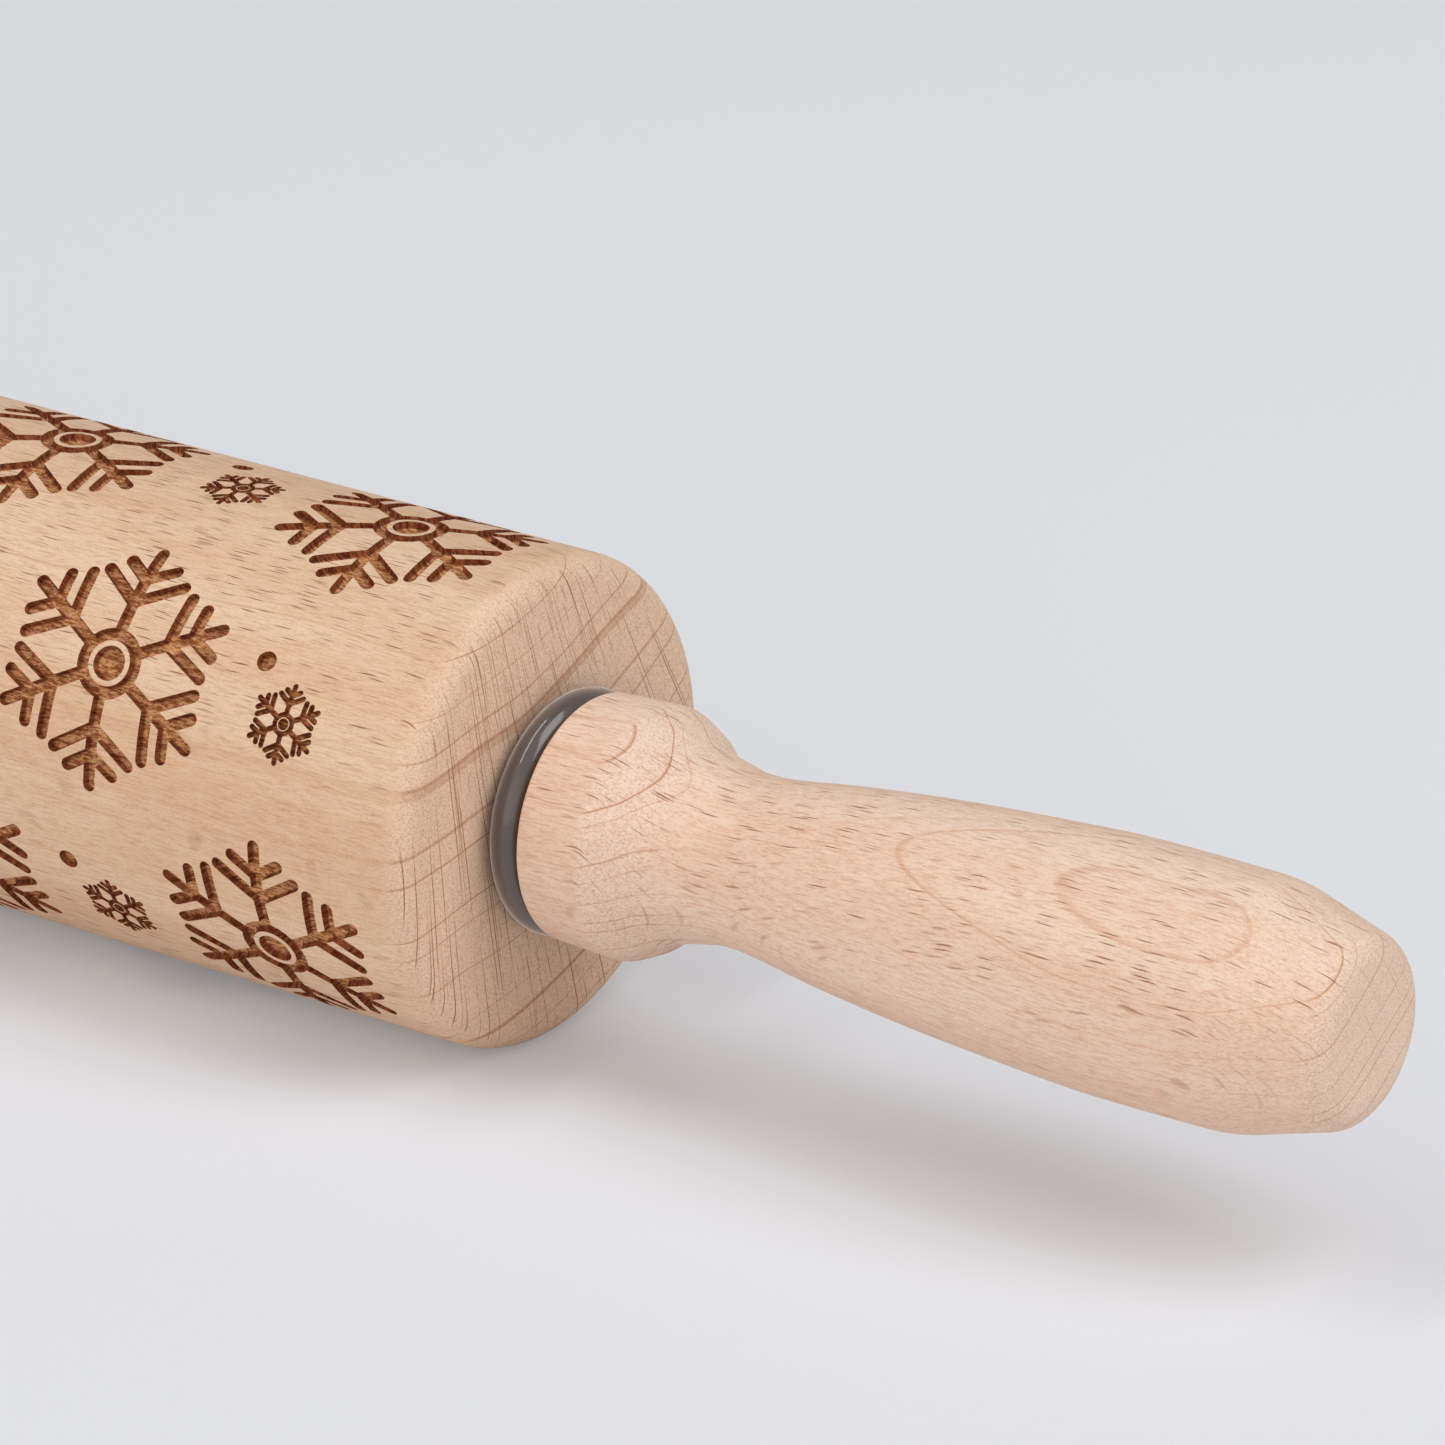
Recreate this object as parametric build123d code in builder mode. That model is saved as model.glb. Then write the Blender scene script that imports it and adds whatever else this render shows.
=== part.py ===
# Rolling pin: a turned beech roller with two turned beech handles.
# The roller turns on two polymer bushes about a steel axle, whose ends are pressed into the handles.
# Millimetres. The origin is the centre of the roller, +X runs along the pin and +Z is up.

import os

from build123d import *

# Roller
roller_diameter = 55.0
roller_length = 225.0
roller_edge_radius = 3.0
roller_bore_diameter = 11.0
bush_seat_diameter = 18.0
bush_seat_depth = 16.0
bush_seat_chamfer = 0.6

# Bushes
flange_standoff = 0.6
flange_width = 4.0
flange_diameter = 27.4
boss_land = 1.2
sleeve_end_gap = 0.8
sleeve_chamfer = 0.8
bush_bore_chamfer = 0.4

# Axle
axle_diameter = 8.0
axle_running_clearance = 0.05
axle_grip_length = 45.0
axle_chamfer = 0.8
glue_groove_width = 1.2
glue_groove_depth = 0.35
glue_groove_pitch = 8.0
glue_groove_count = 4

# Handles
handle_end_float = 0.3
handle_length = 98.6
handle_face_diameter = 27.4
handle_face_edge_radius = 0.6
collar_diameter = 28.2
collar_length = 8.3
collar_ridge_radius = 3.0
shoulder_diameter = 25.2
shoulder_length = 3.1
shoulder_ridge_radius = 1.5
neck_diameter = 18.9
neck_distance = 21.8
grip_diameter = 27.4
crest_to_end = 24.5
nose_diameter = 27.1
nose_length = 12.7
nose_ridge_radius = 20.0
nose_end_diameter = 19.8
end_edge_radius = 3.5
handle_bore_relief = 1.5
handle_bore_chamfer = 0.6

# Points of the cove from the shoulder to the neck, as shares of its length and of its depth
cove_shares = [(0.16, 0.42), (0.38, 0.70), (0.66, 0.90)]

# Points of the swell from the neck to the grip's crest, as shares of its length and of its rise
swell_shares = [(0.04, 0.03), (0.155, 0.235), (0.275, 0.43), (0.45, 0.65), (0.63, 0.82), (0.81, 0.955)]

# Places along the pin, from the middle outwards
roller_face_x = roller_length / 2
bush_seat_floor_x = roller_face_x - bush_seat_depth
sleeve_end_x = bush_seat_floor_x + sleeve_end_gap
flange_start_x = roller_face_x + flange_standoff
flange_end_x = flange_start_x + flange_width
handle_face_x = flange_end_x + handle_end_float
axle_end_x = handle_face_x + axle_grip_length
handle_end_x = handle_face_x + handle_length

# Radii that pieces share
roller_radius = roller_diameter / 2
bush_seat_radius = bush_seat_diameter / 2
axle_radius = axle_diameter / 2
bush_bore_radius = axle_radius + axle_running_clearance

os.makedirs("parts", exist_ok=True)


def ring_at(turned, x):
    """The circular edge of a turned piece whose centre lies nearest to x."""
    rings = turned.edges().filter_by(GeomType.CIRCLE)
    return rings.sort_by(lambda ring: abs(ring.arc_center.X - x))[0]


# Roller: a barrel with rounded ends, a bore that clears the axle and a bush seat at each end
with BuildPart() as roller:
    with BuildSketch(Plane.XY) as roller_section:
        with BuildLine():
            Polyline(
                (-roller_face_x, bush_seat_radius),
                (-roller_face_x, roller_radius),
                (roller_face_x, roller_radius),
                (roller_face_x, bush_seat_radius),
                (bush_seat_floor_x, bush_seat_radius),
                (bush_seat_floor_x, roller_bore_diameter / 2),
                (-bush_seat_floor_x, roller_bore_diameter / 2),
                (-bush_seat_floor_x, bush_seat_radius),
                close=True,
            )
        make_face()
        fillet(roller_section.vertices().group_by(Axis.Y)[-1], radius=roller_edge_radius)
        end_vertices = roller_section.vertices().group_by(Axis.X)
        seat_mouths = [end_vertices[0].sort_by(Axis.Y)[0], end_vertices[-1].sort_by(Axis.Y)[0]]
        chamfer(seat_mouths, length=bush_seat_chamfer)
    revolve(axis=Axis.X)
roller.part.label = "roller"
export_step(roller.part, "parts/roller.step")

# Bush: a sleeve in the roller's seat, a boss against the roller's face, and a flange with a half-round rim
boss_radius = bush_seat_radius + boss_land
rim_radius = flange_width / 2
rim_centre_radius = flange_diameter / 2 - rim_radius

with BuildPart() as bush_right:
    with BuildSketch(Plane.XY) as bush_section:
        with BuildLine():
            ThreePointArc(
                (flange_start_x, rim_centre_radius),
                (flange_start_x + rim_radius, rim_centre_radius + rim_radius),
                (flange_end_x, rim_centre_radius),
            )
            Polyline(
                (flange_end_x, rim_centre_radius),
                (flange_end_x, bush_bore_radius),
                (sleeve_end_x, bush_bore_radius),
                (sleeve_end_x, bush_seat_radius),
                (roller_face_x, bush_seat_radius),
                (roller_face_x, boss_radius),
                (flange_start_x, boss_radius),
                (flange_start_x, rim_centre_radius),
            )
        make_face()
        chamfer(bush_section.vertices().group_by(Axis.Y)[0], length=bush_bore_chamfer)
        sleeve_end_vertices = bush_section.vertices().group_by(Axis.X)[0]
        chamfer(sleeve_end_vertices.sort_by(Axis.Y)[-1], length=sleeve_chamfer)
    revolve(axis=Axis.X)
bush_right.part.label = "bush_right"
export_step(bush_right.part, "parts/bush_right.step")

with BuildPart() as bush_left:
    mirror(bush_right.part, about=Plane.YZ)
bush_left.part.label = "bush_left"
export_step(bush_left.part, "parts/bush_left.step")

# Axle: a plain rod, with ring grooves that hold the glue where it is pressed into the handles
with BuildPart() as axle:
    with BuildSketch(Plane.YZ.offset(-axle_end_x)):
        Circle(axle_radius)
    extrude(amount=2 * axle_end_x)
    end_circles = axle.edges().filter_by(GeomType.CIRCLE)
    chamfer(end_circles, length=axle_chamfer)
    for side in (-1, 1):
        for turn in range(1, glue_groove_count + 1):
            groove_x = side * (axle_end_x - turn * glue_groove_pitch)
            with BuildSketch(Plane.YZ.offset(groove_x - glue_groove_width / 2)):
                Circle(axle_radius)
                Circle(axle_radius - glue_groove_depth, mode=Mode.SUBTRACT)
            extrude(amount=glue_groove_width, mode=Mode.SUBTRACT)
axle.part.label = "axle"
export_step(axle.part, "parts/axle.step")

# Handle: a tapered collar, a cove down to the neck, a long swell and a blunt nose with a flat end
collar_ridge_x = handle_face_x + collar_length
shoulder_x = collar_ridge_x + shoulder_length
neck_x = handle_face_x + neck_distance
crest_x = handle_end_x - crest_to_end
nose_x = handle_end_x - nose_length
cove_length = neck_x - shoulder_x
cove_depth = (shoulder_diameter - neck_diameter) / 2
swell_length = crest_x - neck_x
swell_rise = (grip_diameter - neck_diameter) / 2
cove_points = [
    (shoulder_x + along * cove_length, shoulder_diameter / 2 - down * cove_depth)
    for along, down in cove_shares
]
swell_points = [
    (neck_x + along * swell_length, neck_diameter / 2 + up * swell_rise)
    for along, up in swell_shares
]

with BuildPart() as handle_right:
    with BuildSketch(Plane.XY):
        with BuildLine():
            Polyline(
                (handle_end_x, nose_end_diameter / 2),
                (handle_end_x, 0),
                (handle_face_x, 0),
                (handle_face_x, handle_face_diameter / 2),
                (collar_ridge_x, collar_diameter / 2),
                (shoulder_x, shoulder_diameter / 2),
            )
            cove = Spline(
                (shoulder_x, shoulder_diameter / 2),
                *cove_points,
                (neck_x, neck_diameter / 2),
                tangents=[(1, -1), (1, 0)],
            )
            swell = Spline(
                cove @ 1,
                *swell_points,
                (crest_x, grip_diameter / 2),
                tangents=[(1, 0), (1, 0)],
            )
            TangentArc(swell @ 1, (nose_x, nose_diameter / 2), tangent=swell % 1)
            Line((nose_x, nose_diameter / 2), (handle_end_x, nose_end_diameter / 2))
        make_face()
    revolve(axis=Axis.X)
    fillet(ring_at(handle_right, handle_face_x), radius=handle_face_edge_radius)
    fillet(ring_at(handle_right, collar_ridge_x), radius=collar_ridge_radius)
    fillet(ring_at(handle_right, shoulder_x), radius=shoulder_ridge_radius)
    fillet(ring_at(handle_right, nose_x), radius=nose_ridge_radius)
    fillet(ring_at(handle_right, handle_end_x), radius=end_edge_radius)
    with BuildSketch(Plane.YZ.offset(handle_face_x)):
        Circle(axle_radius)
    extrude(amount=axle_grip_length + handle_bore_relief, mode=Mode.SUBTRACT)
    face_rings = handle_right.edges().filter_by(GeomType.CIRCLE).group_by(Axis.X)[0]
    chamfer(face_rings.sort_by(SortBy.RADIUS)[0], length=handle_bore_chamfer)
handle_right.part.label = "handle_right"
export_step(handle_right.part, "parts/handle_right.step")

with BuildPart() as handle_left:
    mirror(handle_right.part, about=Plane.YZ)
handle_left.part.label = "handle_left"
export_step(handle_left.part, "parts/handle_left.step")
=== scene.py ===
# Looks of the rolling pin: an engraved beech roller, turned beech handles, polymer bushes and a steel axle.
# Sizes of the pin are in millimetres here, and become metres in the finished meshes.

from math import atan2, cos, hypot, pi, radians, sin

import bmesh
import bpy
from mathutils import Matrix, Vector
from mathutils.geometry import delaunay_2d_cdt


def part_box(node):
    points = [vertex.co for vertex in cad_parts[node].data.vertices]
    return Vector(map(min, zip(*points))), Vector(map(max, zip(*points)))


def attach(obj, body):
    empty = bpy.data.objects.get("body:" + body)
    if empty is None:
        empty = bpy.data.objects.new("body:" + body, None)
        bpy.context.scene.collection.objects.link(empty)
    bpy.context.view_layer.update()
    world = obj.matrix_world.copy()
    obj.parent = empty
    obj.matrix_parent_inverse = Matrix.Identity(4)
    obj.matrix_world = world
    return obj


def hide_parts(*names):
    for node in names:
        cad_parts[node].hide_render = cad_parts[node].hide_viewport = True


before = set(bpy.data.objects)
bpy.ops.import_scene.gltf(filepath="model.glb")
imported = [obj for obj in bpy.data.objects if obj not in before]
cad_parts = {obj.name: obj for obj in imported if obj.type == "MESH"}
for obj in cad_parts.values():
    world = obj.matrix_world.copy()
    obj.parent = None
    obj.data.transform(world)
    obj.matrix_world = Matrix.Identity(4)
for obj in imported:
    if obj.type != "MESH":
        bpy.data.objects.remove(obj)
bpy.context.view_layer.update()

MM = 0.001

# Roller, as the frame holds it
roller_low, roller_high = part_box("roller")
roller_radius = roller_high.z / MM
roller_face_x = roller_high.x / MM
roller_edge_radius = 3.0
barrel_end_x = roller_face_x - roller_edge_radius
bush_seat_radius = 9.0
bush_seat_depth = 16.0
bush_seat_chamfer = 0.6
roller_bore_radius = 5.5
sides_per_row = 16
edge_steps = 6

# Bush: the places of its half-round rim, its boss and its sleeve
rim_middle_x = roller_face_x + 2.6
rim_radius = 2.0
rim_centre_radius = 11.7
boss_radius = 10.2
bush_bore_radius = 4.05
bush_bore_chamfer = 0.4
sleeve_end_x = roller_face_x - 15.2
sleeve_chamfer = 0.8
rim_steps = 24
bush_sides = 128

# Snowflake pattern: rows of flakes along the pin, every second row set off by half a pitch.
# Two neighbouring rows are drawn on one flat sheet.
row_count = 6
rows_on_sheet = 2
row_turn = 2 * pi / row_count
row_width = row_turn * roller_radius
first_row_angle = radians(-30.0)
flake_pitch = 46.57
pattern_stretch = 1.065
small_flake_offset = Vector((1.1, -1.25))
dot_offset = Vector((-3.75, 4.8))
dot_radius = 1.15
row_centres_x = (-0.2, 0.45)
large_counts = (5, 4)
small_counts = (4, 5)
circle_steps = 28

# Large snowflake: spines, each with a long and a short pair of branches, and a ringed disc in the middle
spine_count = 6
spine_width = 1.48
spine_foot = 3.3
spine_reach = 13.6
branch_width = 1.45
# A branch's root on the spine, and the place of its tip along the spine and aside
long_branch = (7.17, 10.31, 4.84)
short_branch = (10.1, 11.92, 2.91)
disc_radius = 1.95
raised_ring_radius = 2.55
ring_outer_radius = 3.97
stroke_end_steps = 6

# Small snowflake: the same figure at a smaller scale, its strokes widened by the width of the tool
small_flake_scale = 0.312
small_flake_widening = 0.09
small_branch_share = 0.93
small_circle_steps = 20
small_end_steps = 5

# Groove wall: how far in and how far down each step goes
large_groove_steps = [(0.08, 0.50), (0.14, 0.28), (0.18, 0.12)]
small_groove_steps = [(0.06, 0.38), (0.11, 0.20)]

# Meshes; the sheet is triangulated only inside its border
smooth_angle = radians(40.0)
merge_distance = 0.002
sheet_tolerance = 0.00001
KEEP_INSIDE = 1

# What a face of the barrel is; the roller's materials stand in the same order
PLAIN, LARGE_GROOVE, SMALL_GROOVE = 0, 1, 2


def circle(radius, steps):
    """Outline of a circle about the origin, anticlockwise."""
    angles = [2 * pi * step / steps for step in range(steps)]
    return [radius * Vector((cos(angle), sin(angle))) for angle in angles]


def stroke(foot, tip, width, steps):
    """Outline of a straight stroke with round ends, anticlockwise."""
    along = tip - foot
    heading = atan2(along.y, along.x)
    outline = []
    for centre, start in ((tip, heading - pi / 2), (foot, heading + pi / 2)):
        for step in range(steps + 1):
            angle = start + pi * step / steps
            outline.append(centre + width / 2 * Vector((cos(angle), sin(angle))))
    return outline


def snowflake(scale, widening, branch_share, end_steps, steps):
    """Outlines of one flake: what is cut, the ring that stays proud and the disc cut inside it."""
    strokes = [(Vector((spine_foot, 0)), Vector((spine_reach, 0)), spine_width)]
    for root, along, aside in (long_branch, short_branch):
        for side in (-1, 1):
            tip = Vector((root + branch_share * (along - root), side * branch_share * aside))
            strokes.append((Vector((root, 0)), tip, branch_width))
    cut = [circle(ring_outer_radius * scale + widening, steps)]
    for spine in range(spine_count):
        turn = Matrix.Rotation(spine * 2 * pi / spine_count + pi / 2, 2)
        for foot, tip, width in strokes:
            cut_width = width * scale + 2 * widening
            cut.append(stroke(turn @ foot * scale, turn @ tip * scale, cut_width, end_steps))
    proud = circle(raised_ring_radius * scale - widening / 2, steps)
    inner = circle(disc_radius * scale + widening / 2, steps)
    return cut, proud, inner


def engraved_rows():
    """Outlines of the sheet's rows, each with the kind of groove that it is cut to."""
    outlines = []
    large = snowflake(
        scale=1.0,
        widening=0.0,
        branch_share=1.0,
        end_steps=stroke_end_steps,
        steps=circle_steps,
    )
    small = snowflake(
        scale=small_flake_scale,
        widening=small_flake_widening,
        branch_share=small_branch_share,
        end_steps=small_end_steps,
        steps=small_circle_steps,
    )
    dot = circle(dot_radius, circle_steps)

    def put(outline, place, kind):
        outlines.append(([place + Vector((point.x * pattern_stretch, point.y)) for point in outline], kind))

    for row, counts in enumerate(zip(large_counts, small_counts)):
        row_middle = (row + 0.5) * row_width
        for flake, count, kind in zip((large, small), counts, (LARGE_GROOVE, SMALL_GROOVE)):
            cut, proud, inner = flake
            for turn in range(count):
                along = row_centres_x[row] + (turn - (count - 1) / 2) * flake_pitch
                place = Vector((along, row_middle))
                if kind == SMALL_GROOVE:
                    put(dot, place + dot_offset, LARGE_GROOVE)
                    place += small_flake_offset
                for outline in cut:
                    put(outline, place, kind)
                put(proud, place, PLAIN)
                put(inner, place, kind)
    return outlines


def groove_kind(outlines, held_in):
    """What a face of the sheet is, from the outlines that hold it; the last one wins."""
    if not held_in:
        return PLAIN
    return outlines[max(held_in)][1]


def unrolled_barrel():
    """The sheet: two rows of the barrel, x along the pin and y around it, with their grooves sunk."""
    outlines = engraved_rows()
    points = []
    edges = []
    polygons = []
    for outline, _ in outlines:
        polygons.append(list(range(len(points), len(points) + len(outline))))
        points.extend(outline)
    sides = rows_on_sheet * sides_per_row
    for side in range(sides + 1):
        around = rows_on_sheet * row_width * side / sides
        edges.append((len(points), len(points) + 1))
        points.extend([Vector((-barrel_end_x, around)), Vector((barrel_end_x, around))])
    first, last = edges[0], edges[-1]
    polygons.append([first[0], first[1], last[1], last[0]])
    found = delaunay_2d_cdt(points, edges, polygons, KEEP_INSIDE, sheet_tolerance)
    found_points, _, found_faces, _, _, held_in = found

    mesh = bmesh.new()
    groove = mesh.faces.layers.int.new("groove")
    verts = [mesh.verts.new((point.x, point.y, 0)) for point in found_points]
    for corners, holders in zip(found_faces, held_in):
        face = mesh.faces.new([verts[corner] for corner in corners])
        face[groove] = groove_kind(outlines, [holder for holder in holders if holder < len(outlines)])
    mesh.normal_update()

    meeting = [vert for vert in mesh.verts if vert.link_faces]
    inside = [vert for vert in meeting if all(face[groove] for face in vert.link_faces)]
    bmesh.ops.dissolve_verts(mesh, verts=inside)
    bmesh.ops.triangulate(mesh, faces=[face for face in mesh.faces if face[groove]])
    for kind, steps in ((LARGE_GROOVE, large_groove_steps), (SMALL_GROOVE, small_groove_steps)):
        floor = [face for face in mesh.faces if face[groove] == kind]
        for inward, down in steps:
            wall = bmesh.ops.inset_region(mesh, faces=floor, thickness=inward, use_boundary=True)
            for face in wall["faces"]:
                face[groove] = kind
            sunk = list({vert for face in floor for vert in face.verts})
            bmesh.ops.translate(mesh, verts=sunk, vec=(0, 0, -down))
    return mesh, groove


def roll_up(mesh):
    """Wraps the flat sheet about the pin's axis and repeats it until the barrel is closed."""
    start = first_row_angle - row_turn / 2
    for vert in mesh.verts:
        angle = start + vert.co.y / roller_radius
        radius = roller_radius + vert.co.z
        vert.co = (vert.co.x, -radius * cos(angle), radius * sin(angle))
    sheets = row_count // rows_on_sheet
    bmesh.ops.spin(
        mesh,
        geom=mesh.verts[:] + mesh.edges[:] + mesh.faces[:],
        axis=(1, 0, 0),
        cent=(0, 0, 0),
        angle=2 * pi * (sheets - 1) / sheets,
        steps=sheets - 1,
        use_duplicate=True,
    )


def end_profile():
    """Section of the roller's right end from the barrel inwards, as places along the pin and radii."""
    profile = []
    for step in range(edge_steps + 1):
        angle = pi / 2 * step / edge_steps
        profile.append(
            (
                barrel_end_x + roller_edge_radius * sin(angle),
                roller_radius - roller_edge_radius + roller_edge_radius * cos(angle),
            )
        )
    profile.append((roller_face_x, bush_seat_radius + bush_seat_chamfer))
    profile.append((roller_face_x - bush_seat_chamfer, bush_seat_radius))
    profile.append((roller_face_x - bush_seat_depth, bush_seat_radius))
    profile.append((roller_face_x - bush_seat_depth, roller_bore_radius))
    return profile


def add_ends(mesh):
    """Turns both ends, their bush seats and the bore between them."""
    right = end_profile()
    section = right + [(-x, radius) for x, radius in reversed(right)]
    start = first_row_angle - row_turn / 2
    verts = [mesh.verts.new((x, -radius * cos(start), radius * sin(start))) for x, radius in section]
    edges = [mesh.edges.new(pair) for pair in zip(verts, verts[1:])]
    bmesh.ops.spin(
        mesh,
        geom=verts + edges,
        axis=(1, 0, 0),
        cent=(0, 0, 0),
        angle=2 * pi,
        steps=row_count * sides_per_row,
        use_merge=True,
    )


def set_normals(data):
    """Gives the barrel's plain faces the normals of a true cylinder, and leaves the rest to their own."""
    data.polygons.foreach_set("use_smooth", [True] * len(data.polygons))
    data.set_sharp_from_angle(angle=smooth_angle)
    normals = [Vector((0, 0, 0))] * len(data.loops)
    rim = (roller_radius - merge_distance) * MM
    for polygon in data.polygons:
        corners = [data.vertices[index].co for index in polygon.vertices]
        if min(hypot(corner.y, corner.z) for corner in corners) > rim:
            for loop, corner in zip(polygon.loop_indices, corners):
                normals[loop] = Vector((0, corner.y, corner.z)).normalized()
    data.normals_split_custom_set(normals)


def placed(name, data):
    """An object of this name in the scene, with this mesh, lamp or lens."""
    made = bpy.data.objects.new(name, data)
    bpy.context.scene.collection.objects.link(made)
    return made


def engraved_roller():
    """The barrel with its grooves, its turned ends and its bore, as one closed piece."""
    mesh, groove = unrolled_barrel()
    roll_up(mesh)
    add_ends(mesh)
    bmesh.ops.remove_doubles(mesh, verts=mesh.verts, dist=merge_distance)
    bmesh.ops.scale(mesh, verts=mesh.verts, vec=(MM, MM, MM))
    bmesh.ops.recalc_face_normals(mesh, faces=mesh.faces)
    for face in mesh.faces:
        face.material_index = face[groove]
    data = bpy.data.meshes.new("engraved_roller")
    mesh.to_mesh(data)
    mesh.free()
    set_normals(data)
    return placed("engraved_roller", data)


class Finish:
    """A material and the short calls that build its nodes."""

    def __init__(self, name):
        self.material = bpy.data.materials.new(name)
        self.material.use_nodes = True
        self.tree = self.material.node_tree
        self.tree.nodes.clear()
        self.surface = self.node("ShaderNodeBsdfPrincipled")
        output = self.node("ShaderNodeOutputMaterial")
        self.tree.links.new(self.surface.outputs["BSDF"], output.inputs["Surface"])
        place = self.node("ShaderNodeTexCoord").outputs["Object"]
        self.place = self.times(place, (1 / MM, 1 / MM, 1 / MM))
        parts = self.node("ShaderNodeSeparateXYZ")
        self.feed(parts.inputs[0], self.place)
        self.x, self.y, self.z = parts.outputs

    def node(self, kind, **settings):
        made = self.tree.nodes.new(kind)
        for name, value in settings.items():
            setattr(made, name, value)
        return made

    def feed(self, socket, value):
        if isinstance(value, bpy.types.NodeSocket):
            self.tree.links.new(value, socket)
        else:
            socket.default_value = value

    def set(self, **values):
        for name, value in values.items():
            self.feed(self.surface.inputs[name.replace("_", " ")], value)

    def math(self, operation, a, b=0.0, c=0.0):
        made = self.node("ShaderNodeMath", operation=operation)
        for socket, value in zip(made.inputs, (a, b, c)):
            self.feed(socket, value)
        return made.outputs[0]

    def length(self, a, b):
        """Length of the vector with these two parts."""
        return self.math("SQRT", self.math("ADD", self.math("MULTIPLY", a, a), self.math("MULTIPLY", b, b)))

    def times(self, vector, factors):
        made = self.node("ShaderNodeVectorMath", operation="MULTIPLY")
        self.feed(made.inputs[0], vector)
        made.inputs[1].default_value = factors
        return made.outputs["Vector"]

    def combine(self, x, y, z):
        made = self.node("ShaderNodeCombineXYZ")
        for socket, value in zip(made.inputs, (x, y, z)):
            self.feed(socket, value)
        return made.outputs[0]

    def ramp(self, value, low, high, start=0.0, end=1.0):
        """Eases value from start at low to end at high."""
        made = self.node("ShaderNodeMapRange", interpolation_type="SMOOTHSTEP")
        for name, given in (
            ("Value", value),
            ("From Min", low),
            ("From Max", high),
            ("To Min", start),
            ("To Max", end),
        ):
            self.feed(made.inputs[name], given)
        return made.outputs["Result"]

    def noise(self, vector, detail=2.0, roughness=0.5):
        made = self.node("ShaderNodeTexNoise")
        self.feed(made.inputs["Vector"], vector)
        made.inputs["Scale"].default_value = 1.0
        made.inputs["Detail"].default_value = detail
        made.inputs["Roughness"].default_value = roughness
        return made.outputs["Fac"]

    def grain(self, frequency, detail=2.0, roughness=0.5):
        """Noise that lies fast in the piece."""
        return self.noise(self.times(self.place, frequency), detail, roughness)

    def cells(self, vector):
        """Distance to the nearest cell point, and that cell's own random value."""
        made = self.node("ShaderNodeTexVoronoi")
        self.feed(made.inputs["Vector"], vector)
        made.inputs["Scale"].default_value = 1.0
        chance = self.node("ShaderNodeSeparateColor")
        self.feed(chance.inputs[0], made.outputs["Color"])
        return made.outputs["Distance"], chance.outputs[0]

    def blend(self, factor, under, over):
        made = self.node("ShaderNodeMix", data_type="RGBA")
        self.feed(made.inputs["Factor"], factor)
        self.feed(made.inputs["A"], under)
        self.feed(made.inputs["B"], over)
        return made.outputs["Result"]

    def bump(self, height, depth):
        """Bump whose height, from 0 to 1, is depth millimetres."""
        made = self.node("ShaderNodeBump")
        made.inputs["Distance"].default_value = depth * MM
        self.feed(made.inputs["Height"], height)
        self.feed(self.surface.inputs["Normal"], made.outputs["Normal"])


def linear(red, green, blue):
    """A colour given in display values from 0 to 255, by the sRGB curve."""
    channels = []
    for value in (red, green, blue):
        share = value / 255
        channels.append(share / 12.92 if share <= 0.04045 else ((share + 0.055) / 1.055) ** 2.4)
    return (*channels, 1.0)


# Noise: frequency per millimetre along X, Y and Z, then detail and roughness where they aren't the usual ones
ring_wander_noise = ((0.010, 0.024, 0.024),)
ray_sway_noise = ((0.11, 0.03, 0.03),)
cloud_noise = ((0.012, 0.10, 0.10), 3.0, 0.55)
fibre_noise = ((0.45, 4.6, 4.6), 4.0, 0.75)
pore_noise = ((3.0, 5.0, 5.0), 2.0, 0.7)
shine_noise = ((0.16, 1.6, 1.6), 3.0, 0.65)
char_noise = ((3.2, 3.6, 3.6), 3.0, 0.7)
scorch_noise = ((0.35, 0.5, 0.5),)
mottle_noise = ((0.25, 0.25, 0.25),)
drawn_line_noise = ((0.05, 6.0, 6.0), 3.0)

# Range of a noise over which its layer comes in
cloud_range = (0.32, 0.68)
fibre_range = (0.44, 0.66)
pore_range = (0.48, 0.68)
shine_range = (0.50, 0.72)
char_range = (0.46, 0.66)
scorch_range = (0.50, 0.75)
floor_streak_range = (0.40, 0.60)
wall_streak_range = (0.38, 0.62)

# How far, in millimetres, the rings wander and the rays sway
ring_wander = 9.0
ray_sway = 0.9

# Growth rings: the span and the reach of their drift, in rings, where in a ring's line it is darkest,
# and the strength of the line in the weakest year
ring_drift_span = 2.2
ring_drift = 2.6
ring_line_peak = 0.35
weakest_year = 0.45
late_wood_power = 2.0

# Medullary rays: the length, width and radial reach in millimetres of the cell that holds one ray, the
# shares of the cell where it is full and where it has faded, and the chances of none and of a whole one
strong_rays = dict(length=5.8, width=0.29, radial=9.0, full=0.11, faded=0.29, none_at=0.10, whole_at=0.65)
faint_rays = dict(length=5.0, width=0.25, radial=8.0, full=0.10, faded=0.26, none_at=0.05, whole_at=1.0)
ray_plates = dict(length=9.0, width=0.32, radial=42.0, full=0.09, faded=0.31, none_at=0.0, whole_at=0.45)

# Share of each layer in the wood's colour; ends are the faces that are cut across the grain
late_wood_share = 0.35
end_tone_share = 0.85
end_line_share = 0.45
fibre_share = 0.50
side_pore_share = 0.16
end_pore_share = 0.42
shine_share = 0.45
faint_ray_share = 0.60

# How flat a ray lies in the surface, and how far across the grain it is cut, as it turns from dash to line
flat_range = (0.70, 0.97)
cut_range = (0.76, 1.0)

# Sanded wood: its roughness over a range of the fibre, the depth of its relief in millimetres, and the parts
# that fibres and rays have in it
sanded_range = (0.3, 0.7)
sanded_roughness = (0.56, 0.70)
wood_relief = 0.06
fibre_relief_part = 0.8
ray_relief_part = 0.9

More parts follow.
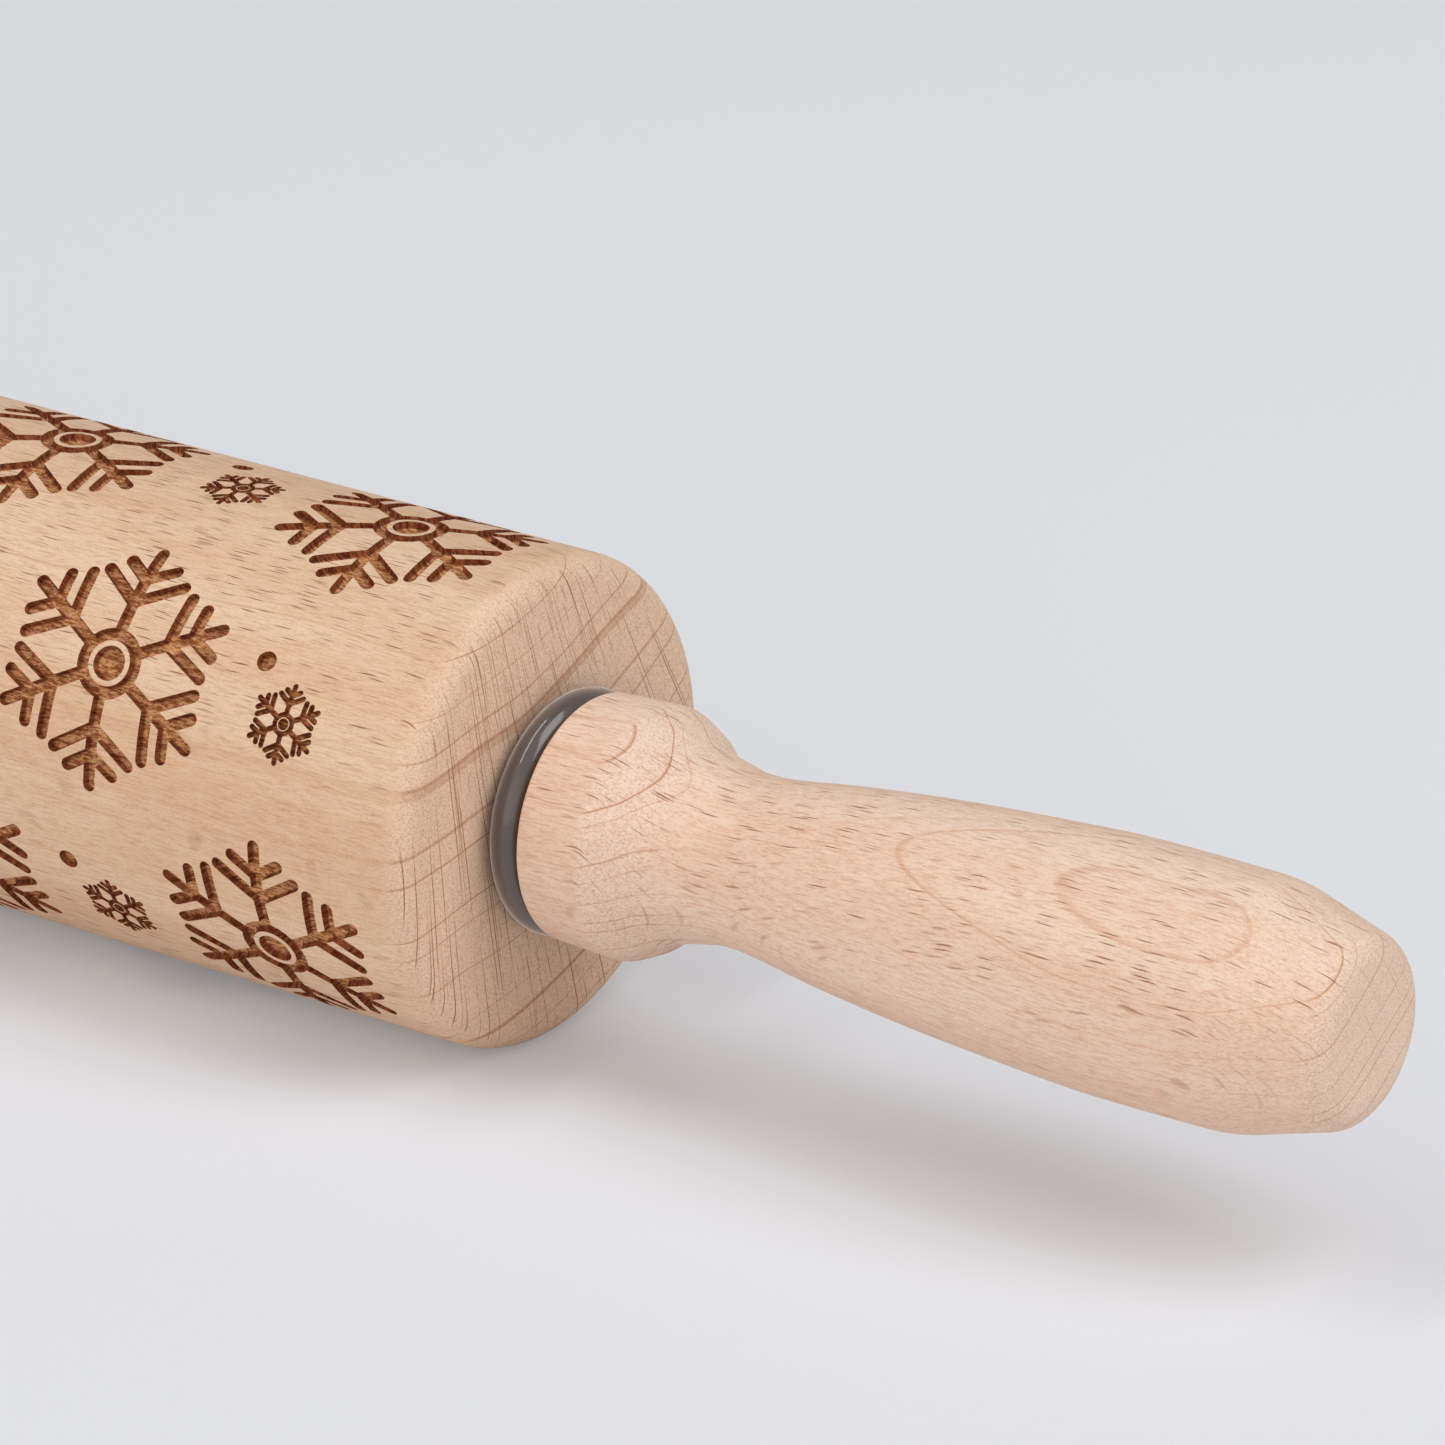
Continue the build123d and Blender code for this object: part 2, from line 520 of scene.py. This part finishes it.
# Tones of the wood: pale, warm, ray, ring line and cut end
roller_tones = (
    linear(231, 202, 172),
    linear(222, 185, 153),
    linear(150, 92, 60),
    linear(196, 142, 104),
    linear(234, 203, 177),
)
handle_tones = (
    linear(239, 214, 193),
    linear(232, 200, 176),
    linear(168, 109, 81),
    linear(204, 144, 106),
    linear(236, 210, 190),
)

# End grain: the depths in from the roller's face between which it fades, and the places along a handle of
# the cone behind the collar's ridge and of the rounded edge round the flat end
roller_end_fade = (2.4, 0.15)
cone_starts = (125.0, 126.2)
cone_ends = (130.5, 136.0)
cone_share = 0.75
handle_flat_starts = (212.8, 215.9)

# Burnt groove: its tones and their shares
large_floor_tones = (linear(158, 88, 48), linear(240, 177, 124))
small_floor_tones = (linear(128, 66, 34), linear(206, 140, 92))
# Walls: darker than the floor for their burn and for painted shade inside the groove
burnt_and_shaded_wall_dark = linear(98, 40, 21)
burnt_and_shaded_wall_pale = linear(164, 96, 58)
char_tone = linear(114, 54, 29)
scorch_tone = linear(116, 56, 32)
lip_tone = linear(190, 126, 84)
char_share = 0.42
scorch_share = 0.30
lip_share = 0.55

# Depth in millimetres to which the lip's tone reaches, and the shares of the depth where the wall, darker for
# its burn and for its painted shade, turns to floor
lip_depth = 0.07
wall_foot = 0.73
floor_edge = 0.98

# Streaks: their frequency per millimetre along the pin, around it and down, their detail and roughness
streak_frequency = (0.8, 3.2, 0.6)
streak_detail = 3.0
streak_roughness = 0.7

# The groove's relief: its depth and the pitch of its ticks in millimetres, and the parts of ticks and streaks
groove_relief = 0.20
tick_pitch = 0.27
tick_relief_part = 0.18
streak_relief_part = 1.6

# Bush polymer, and the axle's steel: its roughness over a range of its lines, and its relief in millimetres
polymer_tones = (linear(68, 54, 49), linear(74, 60, 54))
steel_tones = (linear(188, 188, 186), linear(212, 212, 210))
drawn_line_range = (0.3, 0.7)
steel_roughness = (0.22, 0.34)
steel_relief = 0.01


def grain_space(finish, pith_y, pith_z):
    """Place around the pith and out from it, in millimetres and gently wavy.

    The third value says how flat the rays lie in the surface, from 0 to 1.
    """
    across = finish.math("SUBTRACT", finish.y, pith_y)
    down = finish.math("SUBTRACT", pith_z, finish.z)
    out = finish.length(across, down)
    aside = finish.math("MULTIPLY", finish.z, across)
    tilt = finish.math("ADD", finish.math("MULTIPLY", finish.y, down), aside)
    reach = finish.math("MULTIPLY", out, finish.length(finish.y, finish.z))
    flat = finish.math("ABSOLUTE", finish.math("DIVIDE", tilt, reach))
    around = finish.math("MULTIPLY", finish.math("ARCTAN2", across, down), hypot(pith_y, pith_z))
    wander = finish.math("SUBTRACT", finish.grain(*ring_wander_noise), 0.5)
    sway = finish.math("SUBTRACT", finish.grain(*ray_sway_noise), 0.5)
    out = finish.math("MULTIPLY_ADD", wander, ring_wander, out)
    around = finish.math("MULTIPLY_ADD", sway, ray_sway, around)
    return around, out, flat


def rays(finish, around, out, length, width, radial, full, faded, none_at, whole_at):
    """Medullary rays: thin plates along the grain and the radius, seen as dashes, flecks or lines."""
    place = finish.combine(
        finish.math("DIVIDE", finish.x, length),
        finish.math("DIVIDE", around, width),
        finish.math("DIVIDE", out, radial),
    )
    distance, chance = finish.cells(place)
    shape = finish.ramp(distance, full, faded, 1.0, 0.0)
    return finish.math("MULTIPLY", shape, finish.ramp(chance, none_at, whole_at))


def rings(finish, out, pitch, line_width):
    """Growth rings: a slow darkening out to a thin line, strong in some years and weak in others."""
    drift = finish.node("ShaderNodeTexNoise", noise_dimensions="1D")
    finish.feed(drift.inputs["W"], finish.math("DIVIDE", out, ring_drift_span * pitch))
    drift.inputs["Scale"].default_value = 1.0
    count = finish.math("MULTIPLY_ADD", drift.outputs["Fac"], ring_drift, finish.math("DIVIDE", out, pitch))
    share = finish.math("FRACT", count)
    year = finish.node("ShaderNodeTexWhiteNoise", noise_dimensions="1D")
    finish.feed(year.inputs["W"], finish.math("FLOOR", count))
    line_share = line_width / pitch
    peak = 1 - ring_line_peak * line_share
    darkening = finish.ramp(share, 1 - line_share, peak)
    line = finish.math("MULTIPLY", darkening, finish.ramp(share, peak, 1.0, 1.0, 0.0))
    line = finish.math("MULTIPLY", line, finish.ramp(year.outputs["Value"], 0.0, 1.0, weakest_year, 1.0))
    return line, finish.math("POWER", share, late_wood_power)


def beech(name, pith, ring_pitch, ring_line, tones, end_grain, side_line, end_rays, flat_rays):
    """Bare sanded beech, its rings centred on a pith that lies outside the piece.

    ring_pitch and ring_line are the width of a year and of its dark line, in millimetres. tones are the pale,
    warm, ray, ring and end colours, and end_grain says where the wood is cut across. side_line, end_rays and
    flat_rays are the strengths of ring lines along the grain, of rays on the cut ends and of rays that lie
    flat in the surface.
    """
    finish = Finish(name)
    around, out, flat = grain_space(finish, *pith)
    pale, warm, ray, ring, cut = tones
    ends = end_grain(finish)

    colour = finish.blend(finish.ramp(finish.grain(*cloud_noise), *cloud_range), pale, warm)
    line, late = rings(finish, out, ring_pitch, ring_line)
    colour = finish.blend(finish.math("MULTIPLY", late, late_wood_share), colour, warm)
    colour = finish.blend(finish.math("MULTIPLY", ends, end_tone_share), colour, cut)
    line_strength = finish.ramp(ends, 0.0, 1.0, side_line, 1.0)
    colour = finish.blend(finish.math("MULTIPLY", line, line_strength), colour, ring)

    fibre = finish.grain(*fibre_noise)
    colour = finish.blend(finish.ramp(fibre, *fibre_range, 0.0, fibre_share), colour, ring)
    pore_share = finish.ramp(ends, 0.0, 1.0, side_pore_share, end_pore_share)
    pores = finish.ramp(finish.grain(*pore_noise), *pore_range, 0.0, pore_share)
    colour = finish.blend(pores, colour, ray)
    shine = finish.ramp(finish.grain(*shine_noise), *shine_range, 0.0, shine_share)
    colour = finish.blend(shine, colour, pale)
    end_line = finish.math("MULTIPLY", line, finish.math("MULTIPLY", ends, end_line_share))
    colour = finish.blend(end_line, colour, ray)

    strong = rays(finish, around, out, **strong_rays)
    faint = rays(finish, around, out, **faint_rays)
    plates = rays(finish, around, out, **ray_plates)
    seen = finish.ramp(flat, *flat_range, 1.0, flat_rays)
    dashes = finish.math("MULTIPLY", faint, finish.math("MULTIPLY", seen, faint_ray_share))
    colour = finish.blend(dashes, colour, ray)
    seen = finish.math("MULTIPLY", seen, finish.ramp(ends, *cut_range, 1.0, end_rays))
    colour = finish.blend(finish.math("MULTIPLY", strong, seen), colour, ray)
    lines = finish.math("MULTIPLY", plates, finish.ramp(ends, *cut_range, 0.0, end_rays))
    colour = finish.blend(lines, colour, ray)

    roughness = finish.ramp(fibre, *sanded_range, *sanded_roughness)
    finish.set(Base_Color=colour, IOR=1.45, Roughness=roughness, Specular_IOR_Level=0.25)
    raised = finish.math("MULTIPLY", fibre, fibre_relief_part)
    sunk = finish.math("MULTIPLY", strong, ray_relief_part)
    finish.bump(finish.math("SUBTRACT", raised, sunk), wood_relief)
    return finish.material


def roller_end_grain(finish):
    """The roller's end faces and the outer part of their rounded edges."""
    inner, outer = (roller_face_x - depth for depth in roller_end_fade)
    return finish.ramp(finish.math("ABSOLUTE", finish.x), inner, outer)


def handle_end_grain(finish):
    """The cone behind the collar's ridge and the flat end of a handle."""
    place = finish.math("ABSOLUTE", finish.x)
    cone = finish.math(
        "MULTIPLY",
        finish.ramp(place, *cone_starts, 0.0, cone_share),
        finish.ramp(place, *cone_ends, 1.0, 0.0),
    )
    return finish.math("MAXIMUM", cone, finish.ramp(place, *handle_flat_starts))


def burnt_groove(name, steps, floor_dark, floor_pale):
    """Engraved wood: walls darkened for their burn and with painted shade, a lighter floor, and the fine
    ticks of the engraver's lines.
    """
    finish = Finish(name)
    floor_depth = sum(down for _, down in steps)
    depth = finish.math("SUBTRACT", roller_radius, finish.length(finish.y, finish.z))
    around = finish.math("MULTIPLY", finish.math("ARCTAN2", finish.z, finish.y), roller_radius)
    unrolled = finish.combine(finish.x, around, depth)
    streak = finish.noise(finish.times(unrolled, streak_frequency), streak_detail, streak_roughness)
    char = finish.grain(*char_noise)
    scorch = finish.ramp(finish.grain(*scorch_noise), *scorch_range, 0.0, scorch_share)
    floor = finish.blend(finish.ramp(streak, *floor_streak_range), floor_dark, floor_pale)
    # The walls' tones are burn and painted shade together, darker than the floor's
    wall = finish.blend(finish.ramp(streak, *wall_streak_range), burnt_and_shaded_wall_dark, burnt_and_shaded_wall_pale)
    colour = finish.blend(finish.ramp(depth, wall_foot * floor_depth, floor_edge * floor_depth), wall, floor)
    colour = finish.blend(finish.ramp(char, *char_range, 0.0, char_share), colour, char_tone)
    colour = finish.blend(scorch, colour, scorch_tone)
    colour = finish.blend(finish.ramp(depth, 0.0, lip_depth, lip_share, 0.0), colour, lip_tone)
    finish.set(Base_Color=colour, Roughness=0.8, IOR=1.45, Specular_IOR_Level=0.15)
    ticks = finish.math("SINE", finish.math("MULTIPLY", around, 2 * pi / tick_pitch))
    rough = finish.math("ADD", finish.math("MULTIPLY", streak, streak_relief_part), char)
    finish.bump(finish.math("MULTIPLY_ADD", ticks, tick_relief_part, rough), groove_relief)
    return finish.material


def bush_polymer():
    """Satin moulded polymer, warm grey, with a trace of unevenness and a thin gloss."""
    finish = Finish("bush_polymer")
    colour = finish.blend(finish.grain(*mottle_noise), *polymer_tones)
    finish.set(Base_Color=colour, Roughness=0.45, IOR=1.5, Specular_IOR_Level=0.5)
    finish.set(Sheen_Weight=1.0, Sheen_Roughness=0.4, Coat_Weight=1.0, Coat_Roughness=0.11)
    return finish.material


def axle_steel():
    """Drawn bright steel, with fine lines along the rod."""
    finish = Finish("axle_steel")
    lines = finish.grain(*drawn_line_noise)
    colour = finish.blend(lines, *steel_tones)
    roughness = finish.ramp(lines, *drawn_line_range, *steel_roughness)
    finish.set(Base_Color=colour, Metallic=1.0, Roughness=roughness)
    finish.bump(lines, steel_relief)
    return finish.material


def turned_bush(name, side):
    """One bush with a finely turned rim, on the right side (1) or the left (-1)."""
    profile = []
    for step in range(rim_steps + 1):
        angle = pi * step / rim_steps
        profile.append((rim_middle_x - rim_radius * cos(angle), rim_centre_radius + rim_radius * sin(angle)))
    flange_end_x = rim_middle_x + rim_radius
    flange_start_x = rim_middle_x - rim_radius
    profile += [
        (flange_end_x, bush_bore_radius + bush_bore_chamfer),
        (flange_end_x - bush_bore_chamfer, bush_bore_radius),
        (sleeve_end_x + bush_bore_chamfer, bush_bore_radius),
        (sleeve_end_x, bush_bore_radius + bush_bore_chamfer),
        (sleeve_end_x, bush_seat_radius - sleeve_chamfer),
        (sleeve_end_x + sleeve_chamfer, bush_seat_radius),
        (roller_face_x, bush_seat_radius),
        (roller_face_x, boss_radius),
        (flange_start_x, boss_radius),
    ]
    mesh = bmesh.new()
    verts = [mesh.verts.new((side * x * MM, -radius * MM, 0)) for x, radius in profile]
    edges = [mesh.edges.new(pair) for pair in zip(verts, verts[1:] + verts[:1])]
    bmesh.ops.spin(
        mesh,
        geom=verts + edges,
        axis=(1, 0, 0),
        cent=(0, 0, 0),
        angle=2 * pi,
        steps=bush_sides,
        use_merge=True,
    )
    bmesh.ops.recalc_face_normals(mesh, faces=mesh.faces)
    data = bpy.data.meshes.new(name)
    mesh.to_mesh(data)
    mesh.free()
    data.polygons.foreach_set("use_smooth", [True] * len(data.polygons))
    data.set_sharp_from_angle(angle=smooth_angle)
    return placed(name, data)


def dress(node, material):
    """Gives a CAD node one material all over."""
    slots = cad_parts[node].data.materials
    slots.clear()
    slots.append(material)


# Floor, in metres, and the share of its own colour that shows through its shadows
floor_reach = 4.0
floor_colour = linear(230, 231, 235)
floor_lift_share = 0.22

# World: its strength at the horizon and overhead, and what it gains towards the front
world_colour = linear(255, 250, 244)
world_strength_low = 0.48
world_strength_high = 0.12
world_front = (0.0, -1.0, -0.1)
world_front_gain = 1.1

# Lamps: place, direction of the first side, both sides in metres, and watts
lamp_colour = linear(244, 249, 255)
lamp_aim = Vector((0.12, 0.0, 0.0))
lamps = (
    ("overhead", (1.47, 0.26, 1.76), (1.0, 0.0, 0.0), (1.9, 1.3), 27.5),
    ("strip", (-0.08, -0.26, 0.95), (0.05, -1.0, 0.0), (0.8, 0.06), 2.2),
)

# Camera: place in metres, turn in radians, lens and sensor in millimetres
camera_place = (0.65057, -0.71874, 0.35685)
camera_azimuth = radians(35.679)
camera_elevation = radians(21.134)
camera_roll = radians(0.750)
camera_lens = 223.83
camera_sensor = 36.0
camera_clip_start = 0.05


def floor_finish():
    """Pale matt floor, which shows a share of its own colour however it is lit."""
    material = bpy.data.materials.new("floor")
    material.use_nodes = True
    tree = material.node_tree
    surface = tree.nodes["Principled BSDF"]
    surface.inputs["Base Color"].default_value = floor_colour
    surface.inputs["Roughness"].default_value = 0.8
    surface.inputs["Specular IOR Level"].default_value = 0.1
    glow = tree.nodes.new("ShaderNodeEmission")
    glow.inputs["Color"].default_value = floor_colour
    path = tree.nodes.new("ShaderNodeLightPath")
    seen = path.outputs["Is Camera Ray"]
    for kind in ("Is Glossy Ray", "Is Transmission Ray"):
        either = tree.nodes.new("ShaderNodeMath")
        either.operation = "MAXIMUM"
        tree.links.new(seen, either.inputs[0])
        tree.links.new(path.outputs[kind], either.inputs[1])
        seen = either.outputs[0]
    lift = tree.nodes.new("ShaderNodeMath")
    lift.operation = "MULTIPLY"
    lift.inputs[1].default_value = floor_lift_share
    tree.links.new(seen, lift.inputs[0])
    mix = tree.nodes.new("ShaderNodeMixShader")
    tree.links.new(lift.outputs[0], mix.inputs[0])
    tree.links.new(surface.outputs["BSDF"], mix.inputs[1])
    tree.links.new(glow.outputs["Emission"], mix.inputs[2])
    tree.links.new(mix.outputs["Shader"], tree.nodes["Material Output"].inputs["Surface"])
    return material


def pale_floor():
    """A plain floor under the roller."""
    mesh = bmesh.new()
    bmesh.ops.create_grid(mesh, x_segments=1, y_segments=1, size=floor_reach)
    bmesh.ops.translate(mesh, verts=mesh.verts, vec=(0, 0, roller_low.z))
    data = bpy.data.meshes.new("floor")
    mesh.to_mesh(data)
    mesh.free()
    data.materials.append(floor_finish())
    placed("floor", data)


def studio_world():
    """Soft light from all round, stronger at the horizon than overhead and strongest from the front."""
    world = bpy.data.worlds.new("studio")
    world.use_nodes = True
    tree = world.node_tree
    place = tree.nodes.new("ShaderNodeTexCoord")
    height = tree.nodes.new("ShaderNodeSeparateXYZ")
    tree.links.new(place.outputs["Generated"], height.inputs[0])
    fall = tree.nodes.new("ShaderNodeMapRange")
    fall.inputs["To Min"].default_value = world_strength_low
    fall.inputs["To Max"].default_value = world_strength_high
    tree.links.new(height.outputs["Z"], fall.inputs["Value"])
    facing = tree.nodes.new("ShaderNodeVectorMath")
    facing.operation = "DOT_PRODUCT"
    facing.inputs[1].default_value = world_front
    tree.links.new(place.outputs["Generated"], facing.inputs[0])
    gain = tree.nodes.new("ShaderNodeMapRange")
    gain.inputs["To Max"].default_value = world_front_gain
    tree.links.new(facing.outputs["Value"], gain.inputs["Value"])
    strength = tree.nodes.new("ShaderNodeMath")
    tree.links.new(fall.outputs["Result"], strength.inputs[0])
    tree.links.new(gain.outputs["Result"], strength.inputs[1])
    background = tree.nodes["Background"]
    background.inputs["Color"].default_value = world_colour
    tree.links.new(strength.outputs[0], background.inputs["Strength"])
    bpy.context.scene.world = world


def studio_lamps():
    """A wide lamp overhead, and a narrow strip above the ring that gives its bright streak."""
    for name, place, along, size, power in lamps:
        lamp = bpy.data.lights.new(name, "AREA")
        lamp.shape = "RECTANGLE"
        lamp.size, lamp.size_y = size
        lamp.energy = power
        lamp.color = lamp_colour[:3]
        back = (Vector(place) - lamp_aim).normalized()
        side = (Vector(along) - Vector(along).dot(back) * back).normalized()
        turn = Matrix((side, back.cross(side), back)).transposed()
        placed(name, lamp).matrix_world = Matrix.Translation(place) @ turn.to_4x4()


def photo_camera():
    """A long lens, above the pin and off its right end."""
    lens = bpy.data.cameras.new("camera")
    lens.lens = camera_lens
    lens.sensor_width = camera_sensor
    lens.clip_start = camera_clip_start
    camera = placed("camera", lens)
    swing = Matrix.Rotation(camera_azimuth, 4, "Z")
    dip = Matrix.Rotation(pi / 2 - camera_elevation, 4, "X")
    lean = Matrix.Rotation(camera_roll, 4, "Z")
    camera.matrix_world = Matrix.Translation(camera_place) @ (swing @ dip @ lean)
    bpy.context.scene.camera = camera


roller = engraved_roller()
roller_beech = beech(
    "roller_beech",
    pith=(-33.0, 101.0),
    ring_pitch=4.4,
    ring_line=0.40,
    tones=roller_tones,
    end_grain=roller_end_grain,
    side_line=0.42,
    end_rays=1.0,
    flat_rays=0.22,
)
burnt_large = burnt_groove("burnt_groove", large_groove_steps, *large_floor_tones)
burnt_small = burnt_groove("burnt_fine_groove", small_groove_steps, *small_floor_tones)
for material in (roller_beech, burnt_large, burnt_small):
    roller.data.materials.append(material)
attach(roller, "roller")
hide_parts("roller")

handle_beech = beech(
    "handle_beech",
    pith=(-51.8, 79.7),
    ring_pitch=2.3,
    ring_line=0.32,
    tones=handle_tones,
    end_grain=handle_end_grain,
    side_line=0.46,
    end_rays=0.30,
    flat_rays=0.40,
)
polymer = bush_polymer()
for node in ("handle_right", "handle_left"):
    dress(node, handle_beech)
for node, side in (("bush_right", 1), ("bush_left", -1)):
    bush = turned_bush("turned_" + node, side)
    bush.data.materials.append(polymer)
    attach(bush, "roller")
    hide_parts(node)
dress("axle", axle_steel())

pale_floor()
studio_world()
studio_lamps()
photo_camera()
bpy.context.scene.view_settings.view_transform = "Standard"
